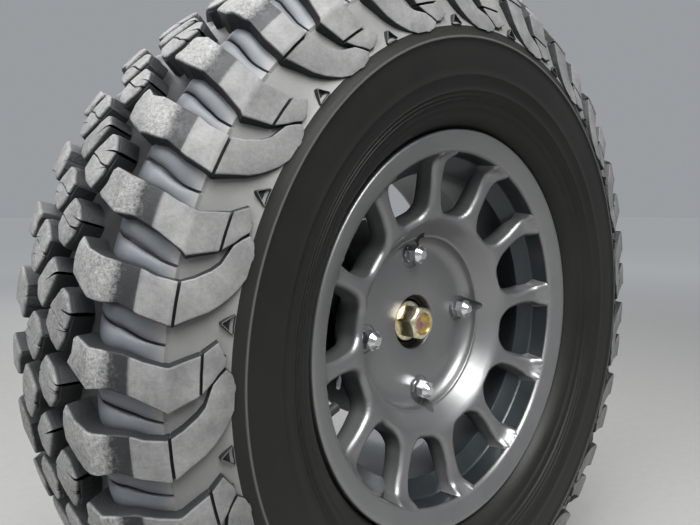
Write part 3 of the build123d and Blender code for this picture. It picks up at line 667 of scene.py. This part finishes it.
# %% Ridges
# Place across a ridge, and the share of its height there
RIDGE_SECTION = [
    (0.0, -0.05), (0.02, 0.55), (0.07, 0.68), (0.18, 0.86), (0.36, 0.98), (0.5, 1.0),
    (0.64, 0.98), (0.82, 0.86), (0.93, 0.68), (0.98, 0.55), (1.0, -0.05),
]
# Place across the tread, and the ridges' height there
RIDGE_START = 79
RIDGE_END = 150
RIDGE_HEIGHTS = np.array([
    (RIDGE_START, 0.0), (84, 0.30), (90, 0.44), (108, 0.46), (122, 0.40), (136, 0.24),
    (RIDGE_END, -0.04),
])
# Half the cleft's width in mm, and how many degrees a ridge reaches under a lug
CLEFT_HALF = 0.8
TUCK = 0.25


def ridges(above, below):
    """The flat grids of two ridges in the groove between two edges of lugs."""
    grids = ([], [])
    for s in np.linspace(RIDGE_START, RIDGE_END, 19):
        top, bottom = np.interp(s, *above.T), np.interp(s, *below.T)
        middle = (top + bottom) / 2 + 0.35 * math.sin((s - RIDGE_START) / 12)
        gap = degrees_of(CLEFT_HALF, s)
        height = np.interp(s, *RIDGE_HEIGHTS.T)
        roundness = np.interp(s, (82, 108), (0.0, 1.0))
        # The ridges' shade: 0.9 gives the floor's dust, 0.45 the painted sky reflection.
        dust_and_sheen = np.interp(s, (82, 100), (0.9, 0.45))
        spans = [(top - TUCK, middle - gap), (middle + gap, bottom + TUCK)]
        for grid, (first, last) in zip(grids, spans):
            row = []
            for place, share in RIDGE_SECTION:
                share = 1 - (1 - share) * roundness if share > 0 else share
                row.append((s, first + (last - first) * place, height * share, dust_and_sheen * max(share, 0)))
            grid.append(row)
    return [np.array(grid) for grid in grids]


ridge_grids = ridges(long_edges[1], short_edges[0] + (0, PITCH)) + ridges(short_edges[1], long_edges[0])
print("ridges in a pitch", 2 * len(ridge_grids))

# %% [markdown]
# The middle of the tread is made of blocks, worn rounder than the lugs. A block could be
# a beveled prism, but a bevel can't wear one edge more than another. Here it is an outline
# whose rings shrink as they rise, over a fan to its middle.

# %% Blocks
# Inset in mm from the outline, and the share that the ring stands at
FOOT_RINGS = [(-2.4, -0.06), (-1.2, 0.72), (-0.7, 0.86), (0.4, 0.95), (2.2, 0.985), (4.4, 1.0)]
LOW_RINGS = [(-2.4, -0.06), (-1.2, 0.72), (-0.9, 0.80), (0.0, 0.83), (2.0, 0.84)]
PART_RINGS = [(2.5, 0.76), (-0.4, 0.78), (-0.35, 0.89), (0.2, 0.955), (1.3, 0.987), (2.8, 1.0)]
TRIANGLE_RINGS = [(-0.6, -0.05), (-0.2, 0.8), (0.1, 0.95), (0.6, 0.95), (0.9, 0.5), (1.2, 0.3)]


def block(outline, rings=FOOT_RINGS, crisp=()):
    """The flat grid of a block, ring by ring from its foot to its middle.

    The corners counted in crisp keep their place, so that a sipe between two parts stays narrow.
    """
    outline = np.array(outline, float)
    softness = [[0.12 if k in crisp else 1.0] for k in range(len(outline))]
    corners = np.hstack([outline, softness])
    points = []
    for here, following in zip(corners, np.roll(corners, -1, 0)):
        for share in (0.08, 0.36, 0.64, 0.92):
            points.append(here + (following - here) * share)
    points = np.array(points)
    softness = points[:, 2:]
    points = points[:, :2]
    middle = points.mean(0)
    scale = np.array([1.0, np.radians(1) * TYRE_RADIUS * 1000])
    away = (points - middle) * scale
    reach = np.linalg.norm(away, axis=1, keepdims=True)
    grid = []
    for inset, share in rings:
        moved = middle + away * (1 - inset * softness / reach) / scale
        grid.append(np.column_stack([moved, np.full(len(moved), share)]))
    for shrink in (0.5, 0.02):
        moved = middle + (grid[-1][:, :2] - middle) * shrink
        grid.append(np.column_stack([moved, np.full(len(moved), share)]))
    return np.array(grid)


def split(upper, sipe, lower, gap=0.10):
    """A block cut by a sipe: a low base and a part on either side, as (s, angle) points."""
    sipe = np.array(sipe, float)
    along_sipe = range(len(upper), len(upper) + len(sipe))
    first = block(np.vstack([upper, sipe[::-1] - (0, gap)]), PART_RINGS, along_sipe)
    second = block(np.vstack([sipe + (0, gap), lower]), PART_RINGS, range(len(sipe)))
    return [block(np.vstack([upper, lower]), LOW_RINGS), first, second]


block_grids = split(
    [(160, 153.9), (170, 152.0), (181, 151.5), (196, 153.2)],
    [(165.2, 155.6), (178, 155.1), (187, 154.4), (198.0, 153.8)],
    [(205, 155.6), (192, 157.2), (178, 158.0), (168, 156.6)],
) + split(
    [(177, 161.6), (186, 160.0), (201, 159.0), (211, 160.1)],
    [(180.0, 162.4), (191, 162.3), (203, 161.6), (213.5, 160.9)],
    [(218, 162.2), (208, 163.9), (194, 164.5), (183, 163.3)],
)
centre_block = block([
    (196, 167.3), (211, 165.7), (221, 166.4), (238, 168.6), (232, 170.6), (218, 171.4), (206, 169.3),
])
triangle = block([(38.0, 168.6), (38.0, 171.5), (48.0, 170.0)], TRIANGLE_RINGS)
print("block forms in a pitch", 2 * len(block_grids) + 1)

# %% [markdown]
# The pattern is the same seen from either sidewall, turned by half a turn. So each grid is
# placed once as drawn and once as its twin, and both are repeated round the tyre. An Array
# modifier could do the repeats, but plain loops give one finished mesh.

# %% Repeat the pattern
# A place at one angle has its twin at this angle less its own
TWIN_ANGLE = 319.5


def repeat(stock, grid, twin=True):
    """A grid and its twin at each of the pitches. Its last column is the stored shade."""
    forms = [grid]
    if twin:
        other = grid.copy()
        other[..., 0] = SPAN - grid[..., 0]
        other[..., 1] = TWIN_ANGLE - grid[..., 1]
        forms.append(other)
    for form in forms:
        for pair in range(PAIRS):
            s, angle, share = form[..., 0], form[..., 1] + pair * PITCH, form[..., 2]
            stock.sheet(rolled(s, angle, share), np.clip(form[..., -1], 0, 1))


shoulder_lugs = Stock()
for grid in (long_lug, short_lug, triangle):
    repeat(shoulder_lugs, grid)
dress(shoulder_lugs.object("shoulder_lugs", 30), "wheel", rubber)

groove_ridges = Stock()
for grid in ridge_grids:
    repeat(groove_ridges, grid)
dress(groove_ridges.object("groove_ridges", 34), "wheel", groove_rubber)

centre_blocks = Stock()
for grid in block_grids:
    repeat(centre_blocks, grid)
repeat(centre_blocks, centre_block, twin=False)
dress(centre_blocks.object("centre_blocks", 30), "wheel", rubber)

# %% [markdown]
# Under the lugs lies the casing, a plain turned form. Its section runs from the bead over
# the rim guard, some fine moulded ridges and the smooth sidewall to a raised rib. Turning
# real points keeps the ridges crisp in a close view, where bump would look painted on.

# %% Sidewalls
RIB_TOP = 287.0
# Distance from the tread's middle, radius
side = [
    (88.9, 191.0), (88.9, 204.0), (90.5, 207.0), (95.0, 209.0), (101.0, 211.8), (106.0, 215.4),
    (109.6, 219.5), (111.0, 222.6), (111.2, 224.2), (112.6, 225.2), (114.4, 227.2), (115.2, 229.2),
    (115.0, 230.4), (116.4, 232.2), (117.6, 232.7), (118.1, 233.4), (117.6, 234.4), (118.4, 235.8),
    (119.4, 236.3), (119.9, 237.1), (119.4, 238.1), (120.1, 239.6), (121.1, 240.1), (121.6, 240.9),
    (121.1, 241.9), (122.4, 245.6), (124.5, 253.2), (125.2, 253.7), (125.5, 254.6), (125.1, 255.6),
    (125.9, 262.0), (126.6, 270.0), (127.0, 277.0), (127.1, 283.6), (127.4, 285.0), (128.8, 285.8),
    (129.0, RIB_TOP), (128.6, 288.6), (127.2, 290.6), (125.4, 297.0),
]
# The rib's top carries the painted highlight.
rib_highlight_share = np.array([[float(radius == RIB_TOP)] for _, radius in side])
sidewall = Stock()
for sign in (1, -1):
    half = [(MIDDLE_DEPTH - sign * width, radius) for width, radius in side]
    turned(half, stock=sidewall, shade=rib_highlight_share)
dress(sidewall.object("sidewalls", 50), "wheel", sidewall_rubber)

# %% [markdown]
# The rest of the casing is the grooves' floor, which follows the same places as the
# table of floors but just above it, so that no lug's foot shows a gap. Its shade rises
# from the deep crown to the dusty floor at the sidewall, and on the step between them it
# passes through the painted sky reflection.

# %% Tread casing
under = [
    side[-1], (121.3, 304.2), (116.3, 318.2), (110.2, 336.7), (106.3, 336.9), (100.0, 339.3),
    (91.0, 349.8), (83.5, 357.8), (77.5, 360.8), (42.0, 362.5), (0.0, 362.9),
]
loop = [(MIDDLE_DEPTH - width, radius) for width, radius in under]
loop += [(MIDDLE_DEPTH + width, radius) for width, radius in reversed(under[:-1])]
# Dust near the sidewall, and on the step from the crown the painted sky reflection.
dust_and_sheen_share = np.interp([width for width, _ in under], (100, 110, 125), (0.0, 0.9, 1.0))
dust_and_sheen_share = np.concatenate([dust_and_sheen_share, dust_and_sheen_share[-2::-1]])[:, None]
casing = turned(loop, shade=dust_and_sheen_share).object("tread_casing", 50)
dress(casing, "wheel", groove_rubber)
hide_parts("tyre")

# %% [markdown]
# The cast face of the wheel follows one profile from the hub's hole outward: a flat pad,
# a cove, a narrow step, the dish, a rounded crest and the spokes, which flare into the
# barrel. The profile is a table of radius and depth, and everything on the face reads it,
# so that the dish, the spokes and the window edges meet without seams.

# %% Profile of the wheel's face
WINDOWS = 12
SECTOR = 360 / WINDOWS
WINDOW_ANGLE = 81.0
DISH_EDGE = 112.0
SPOKE_END = 189.5

cove_turn = np.radians(np.linspace(0, 84, 9))
cove = list(zip(79.5 + 16.5 * np.sin(cove_turn), 58 + 14 * np.cos(cove_turn)))
face_profile = np.array([
    (30.4, 75.0), (30.6, 73.2), (31.2, 72.4), (32.2, 72.0), (60, 72.0), (76, 72.0), *cove,
    (96.1, 57.2), (96.6, 56.5), (98.0, 56.2), (98.9, 55.6), (99.8, 54.5), (111.0, 41.4), (112.0, 40.2),
    (113.6, 38.5), (115.6, 36.6), (118.0, 34.8), (121.0, 33.2), (124.5, 32.0), (128.0, 31.1), (134, 29.9),
    (163, 24.7), (167, 23.9), (170.5, 22.9), (173.5, 21.7), (176, 20.3), (178.3, 18.5), (180.4, 16.3),
    (182.2, 13.8), (183.8, 11.2), (184.9, 9.4), (185.8, 8.2), (190, 8.0),
])
back_profile = np.array([(30, 86), (104, 86), (109, 83), (126, 60), (134, 55), (169, 46), (190, 44)])


def front_depth(radius):
    """Depth of the face's front at a radius."""
    return np.interp(radius, face_profile[:, 0], face_profile[:, 1])


def back_depth(radius):
    """Depth of the face's back at a radius."""
    return np.interp(radius, back_profile[:, 0], back_profile[:, 1])


print("the dish is", round(front_depth(60) - front_depth(128), 1), "mm deep")

# %% [markdown]
# A window is an outline with rounded corners, which is written as its corners and the
# radius of each fillet. A window could be cut with a Boolean, but then its rolled edge
# would need a bevel that fails where fillets meet. Rays from the window's middle find the
# outline and its normals instead, so that every ring has as many points.

# %% Outlines with rounded corners
def rounded(corners, step=6):
    """Points along a closed outline. Each corner is (x, y, radius of its fillet)."""
    points = []
    corners = np.array(corners, float)
    for before, here, after in zip(np.roll(corners, 1, 0), corners, np.roll(corners, -1, 0)):
        arriving = (before[:2] - here[:2]) / np.linalg.norm(before[:2] - here[:2])
        leaving = (after[:2] - here[:2]) / np.linalg.norm(after[:2] - here[:2])
        half = math.acos(np.clip(arriving @ leaving, -1, 1)) / 2
        if here[2] <= 0 or half > math.radians(89):
            points.append(here[:2])
            continue
        inward = (arriving + leaving) / np.linalg.norm(arriving + leaving)
        centre = here[:2] + inward * here[2] / math.sin(half)
        start = math.atan2(*(here[:2] + arriving * here[2] / math.tan(half) - centre)[::-1])
        end = math.atan2(*(here[:2] + leaving * here[2] / math.tan(half) - centre)[::-1])
        swing = (end - start + math.pi) % (2 * math.pi) - math.pi
        for angle in start + swing * np.linspace(0, 1, step + 1):
            points.append(centre + here[2] * np.array([math.cos(angle), math.sin(angle)]))
    return np.array(points)


def seen_from(centre, outline, directions):
    """Where rays from a centre meet an outline, and the outline's normals there."""
    closed = np.vstack([outline, outline[:1]])
    runs = np.linspace(0, 1, 40)[:-1, None]
    fine = np.concatenate([start + (end - start) * runs for start, end in zip(closed, closed[1:])])
    around = np.arctan2(*(fine - centre).T[::-1])
    order = np.argsort(around)
    turns = np.concatenate([around[order] - 2 * math.pi, around[order], around[order] + 2 * math.pi])
    met = np.column_stack([np.interp(directions, turns, np.tile(fine[order, k], 3)) for k in (0, 1)])
    along = np.roll(met, -1, 0) - np.roll(met, 1, 0)
    normal = np.column_stack([along[:, 1], -along[:, 0]])
    normal /= np.linalg.norm(normal, axis=1, keepdims=True)
    normal *= np.sign(np.sum(normal * (met - centre), 1))[:, None]
    return met, normal


# A corner's radius from the axle, half the spoke's width there, and the fillet
WINDOW_CORNERS = [(125.0, 10.5, 19), (154, 8.2, 75), (188.0, 12.5, 12)]


def window_outline():
    """One window's outline, about +x: narrow at the crest, with a waist, wide at the barrel."""
    half = math.radians(SECTOR) / 2
    corners = [(r, half - math.asin(spoke / r), fillet) for r, spoke, fillet in WINDOW_CORNERS]
    outer, swing, _ = corners[-1]
    arc = [(outer, swing * k / 3, 0) for k in (2, 1, 0, -1, -2)]
    line = corners + arc + [(r, -angle, fillet) for r, angle, fillet in reversed(corners)]
    return rounded([(r * math.cos(a), r * math.sin(a), fillet) for r, a, fillet in line])


print("a window is", np.ptp(window_outline(), axis=0).round(1), "mm")

# %% [markdown]
# The window lies in a sector of 30 degrees. Rings of points lead from the sector's edge
# to the window. They keep to the profile, roll over the window's edge in a quarter circle,
# follow the tapered wall inboard and turn out again along the back. Half of one sector and
# half of the next make a spoke, and their points meet at its middle.

# %% Windows and spokes
# The radius of the rolled edge, the wall's draft in mm and where the rays start
ROLL = 7.0
TAPER = 3.0
WINDOW_MIDDLE = np.array([157.0, 0.0])


def sector(inner, outer, half_angle, steps, side_steps):
    """Points round the edge of a sector about +x, in order."""
    swing = np.radians(np.linspace(-half_angle, half_angle, steps + 1))
    run = np.linspace(outer, inner, side_steps + 1)[1:-1]
    points = [(outer * math.cos(a), outer * math.sin(a)) for a in swing]
    points += [(r * math.cos(swing[-1]), r * math.sin(swing[-1])) for r in run]
    points += [(inner * math.cos(a), inner * math.sin(a)) for a in swing[::-1]]
    points += [(r * math.cos(swing[0]), r * math.sin(swing[0])) for r in run[::-1]]
    return np.array(points)


def polar(points, depth, turned_by):
    """Sector points and their depths, turned about the axle, as points in metres."""
    radius = np.hypot(points[:, 0], points[:, 1])
    return on_wheel(depth, radius, np.degrees(np.arctan2(points[:, 1], points[:, 0])) + turned_by)


def rings_of_window(edge, middle):
    """Pairs of points and depths, from the sector's front edge to its back edge."""
    wall, normal = seen_from(middle, window_outline(), np.arctan2(*(edge - middle).T[::-1]))
    brow = wall + normal * ROLL
    brow *= np.minimum(1, (SPOKE_END - 0.1) / np.hypot(*brow.T))[:, None]
    rings = []
    for share in np.linspace(0, 1, 9)[:-1]:
        ring = edge + (brow - edge) * share
        rings.append((ring, front_depth(np.hypot(*ring.T))))
    brow_depth = front_depth(np.hypot(*brow.T))
    for roll in np.radians(np.linspace(0, 90, 7)):
        ring = wall + (brow - wall) * (1 - math.sin(roll))
        rings.append((ring, brow_depth + ROLL * (1 - math.cos(roll))))
    wall_end = back_depth(np.hypot(*wall.T)) - 2
    for share in (0.15, 0.4, 0.7, 1.0):
        depth = brow_depth + ROLL + (wall_end - brow_depth - ROLL) * share
        rings.append((wall - normal * TAPER * share, depth))
    foot = wall - normal * TAPER
    for share in (0.04, 0.12, 0.4, 1.0):
        ring = foot + (edge - foot) * share
        rings.append((ring, back_depth(np.hypot(*ring.T)) - 2 * max(0, 1 - share * 10)))
    return rings


sector_edge = sector(DISH_EDGE, SPOKE_END, SECTOR / 2, steps=30, side_steps=44)
window_rings = rings_of_window(sector_edge, WINDOW_MIDDLE)
# Painted shade: the inboard end of each window's wall and the spokes' back are marked darker.
window_shade = np.array([0.0] * 17 + [0.3, 0.8] + [1.0] * 4)[:, None]
wheel_cast = Stock()
for k in range(WINDOWS):
    grid = [polar(points, depth, WINDOW_ANGLE + k * SECTOR) for points, depth in window_rings]
    wheel_cast.sheet(np.array(grid), window_shade, closed=True)
print("rings of a window", len(window_rings), "with", len(window_rings[0][0]), "points each")

# %% [markdown]
# The dish is a turned ring from the hub's hole to the feet of the spokes. Each nut pocket
# is a teardrop whose point runs up the dish's wall, as the casting's core left it. That
# edge in space is hard to mesh by hand, so here a Boolean is the better tool.

# %% Dish with its nut pockets
NUTS = 4
NUT_ANGLE = 95.5
NUT_CIRCLE = 78.0


def teardrop(radius, tip_radius, reach, floor_depth, mouth_depth):
    """Rings of a closed cutter about a nut's axis, as points and depths, floor first."""
    lean = math.acos((radius - tip_radius) / reach)
    big = np.linspace(lean, 2 * math.pi - lean, 40)
    small = np.linspace(-lean, lean, 12)
    outline = [(NUT_CIRCLE + radius * math.cos(a), radius * math.sin(a)) for a in big]
    outline += [(NUT_CIRCLE + reach + tip_radius * math.cos(a), tip_radius * math.sin(a)) for a in small]
    outline = np.array(outline)
    middle = np.array([NUT_CIRCLE + 3, 0.0])
    rows = [
        (0.0, floor_depth), (0.93, floor_depth), (0.98, floor_depth - 0.5), (1.0, floor_depth - 1.5),
        (1.0, mouth_depth), (0.0, mouth_depth),
    ]
    return [(middle + (outline - middle) * share, np.full(len(outline), depth)) for share, depth in rows]


def cut_out(piece, cutters):
    """Subtract cutters from a piece, keep the result as its mesh and drop the cutters."""
    for cutter in cutters:
        cut = piece.modifiers.new("cut", "BOOLEAN")
        cut.operation = "DIFFERENCE"
        cut.solver = "EXACT"
        cut.object = cutter
    graph = bpy.context.evaluated_depsgraph_get()
    mesh = bpy.data.meshes.new_from_object(piece.evaluated_get(graph))
    piece.modifiers.clear()
    piece.data = mesh
    for cutter in cutters:
        bpy.data.objects.remove(cutter)


dish_front = [(depth, radius) for radius, depth in face_profile if radius <= DISH_EDGE]
dish_back = [(back_depth(radius), radius) for radius in (DISH_EDGE, 109, 104, 70, 36, 31, 30.4)]
dish = turned(dish_front + dish_back, 288, WINDOW_ANGLE - SECTOR / 2, wrap=True).object("dish")
pocket_rows = teardrop(radius=15.5, tip_radius=4.5, reach=20.0, floor_depth=73.4, mouth_depth=20.0)
cutters = []
for k in range(NUTS):
    pocket = Stock()
    angle = NUT_ANGLE + k * 360 / NUTS
    pocket.sheet(np.array([polar(points, depth, angle) for points, depth in pocket_rows]), closed=True)
    cutters.append(pocket.object("pocket"))
cut_out(dish, cutters)
dish.data.set_sharp_from_angle(angle=math.radians(30))
dress(dish, "wheel", paint)

# %% [markdown]
# The barrel is turned too, in one closed section: a rounded lip, a band that leans inward,
# the wall that shows through the windows, the slope down to the well, the inboard half
# with its flange, and back along the outside under the tyre.

# %% Barrel
lip_turn = np.radians(np.linspace(0, 90, 8))
lip = list(zip(2.6 - 2.6 * np.sin(lip_turn), 204.4 + 2.6 * np.cos(lip_turn)))
bore = [
    (0.5, 202.0), (1.1, 200.2), (6.3, 188.6), (7.0, 187.2), (8.2, 185.8), (9.8, 184.9), (12, 184.5),
    (30.5, 184.5), (32, 183.9), (33.4, 182.2), (42.4, 168.0), (43.6, 166.8), (45.6, 166.5), (92, 166.5),
    (95.5, 167.4), (110.5, 183.6), (113, 184.5), (191, 184.5), (193, 185), (198.5, 186.7), (199.6, 187.6),
    (200, 189),
]
rim_flange = [
    (200, 204.4), (199.2, 206.2), (197.4, 207.0), (189.4, 207.0), (189, 206.6), (189, 192), (187, 190),
]
outside = [
    (109.5, 190), (107, 189), (93.5, 172.8), (91, 172), (47, 172), (44.5, 172.8), (36.5, 189), (34, 190),
    (13, 190), (11, 192), (11, 206.6), (10.6, 207.0),
]
section = lip + bore + rim_flange + outside
# The inside of the barrel is marked for painted shade.
barrel_shade = [[float(11.9 < depth < 199 and radius < 186.8)] for depth, radius in section + section[:1]]
barrel = turned(section, 288, wrap=True, shade=np.array(barrel_shade)).object("rim_barrel", 34)
dress(barrel, "wheel", paint)
dress(wheel_cast.object("spokes", 40), "wheel", paint)
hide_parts("wheel_rim")

# %% [markdown]
# In the hub's hole stands the axle nut with a flange at its foot. Its hexagon is cut by
# a cone at the front, which leaves the curved bevels that a plain bevel modifier misses:
# each point just keeps the smaller of the hexagon's and the cone's radius. The corners are
# eased in the same way. The shaft's end lies just inside the nut.

# %% Axle nut
# Half the width across flats, the corners' radius and the hexagon's turn in degrees
FLATS = 17.2
CORNERS = FLATS * 1.125
HEXAGON_TURN = 12
NO_CONE = 99.0
turns = np.arange(144) * 2.5
hexagon = FLATS / np.cos(np.radians((turns + HEXAGON_TURN) % 60 - 30))
hexagon = np.minimum(hexagon, CORNERS)


def nut_ring(depth, cone):
    """One ring of the nut: the hexagon inside a cone's radius."""
    return on_wheel(depth, np.minimum(hexagon, cone), turns)


# Depth and the cone's radius: the sides, the bevel and the front with its rounded hole
nut_sides = [(80.5, NO_CONE), (72, NO_CONE), (62.4, NO_CONE)]
nut_bevel = [(62.4 - 3.6 * share, 19.5 - 3.4 * share ** 1.3) for share in np.linspace(0.12, 1, 8)]
nut_front = [(58.4, 15.6), (58.2, 15.0), (58.2, 13.2), (58.5, 12.6), (59.3, 12.3), (60.6, 12.3)]
nut = Stock()
nut.sheet(np.array([nut_ring(*ring) for ring in nut_sides + nut_bevel + nut_front]), closed=True)
nut_flange = [
    (83.6, 14), (83.6, 22.4), (83.0, 23.0), (81.8, 23.0), (81.1, 22.5), (80.6, 21.4), (80.3, 18.6),
    (80.3, 14),
]
turned(nut_flange, 144, stock=nut, wrap=True)
axle_nut = dress(nut.object("axle_nut_beveled", 24), "wheel", zinc)
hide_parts("axle_nut")
end_face = [
    (60.6, 11.75), (60.2, 11.7), (59.6, 11.2), (59.3, 10.4), (59.2, 9.6), (59.2, 4.4), (59.35, 3.9),
    (59.9, 1.6), (59.95, 0.05),
]
dress(turned(end_face, 96).object("shaft_end", 30), "wheel", end_zinc)

# %% [markdown] The dressed wheel has to stay inside the CAD model's box, or it would no
# longer be the size that the frame promises.
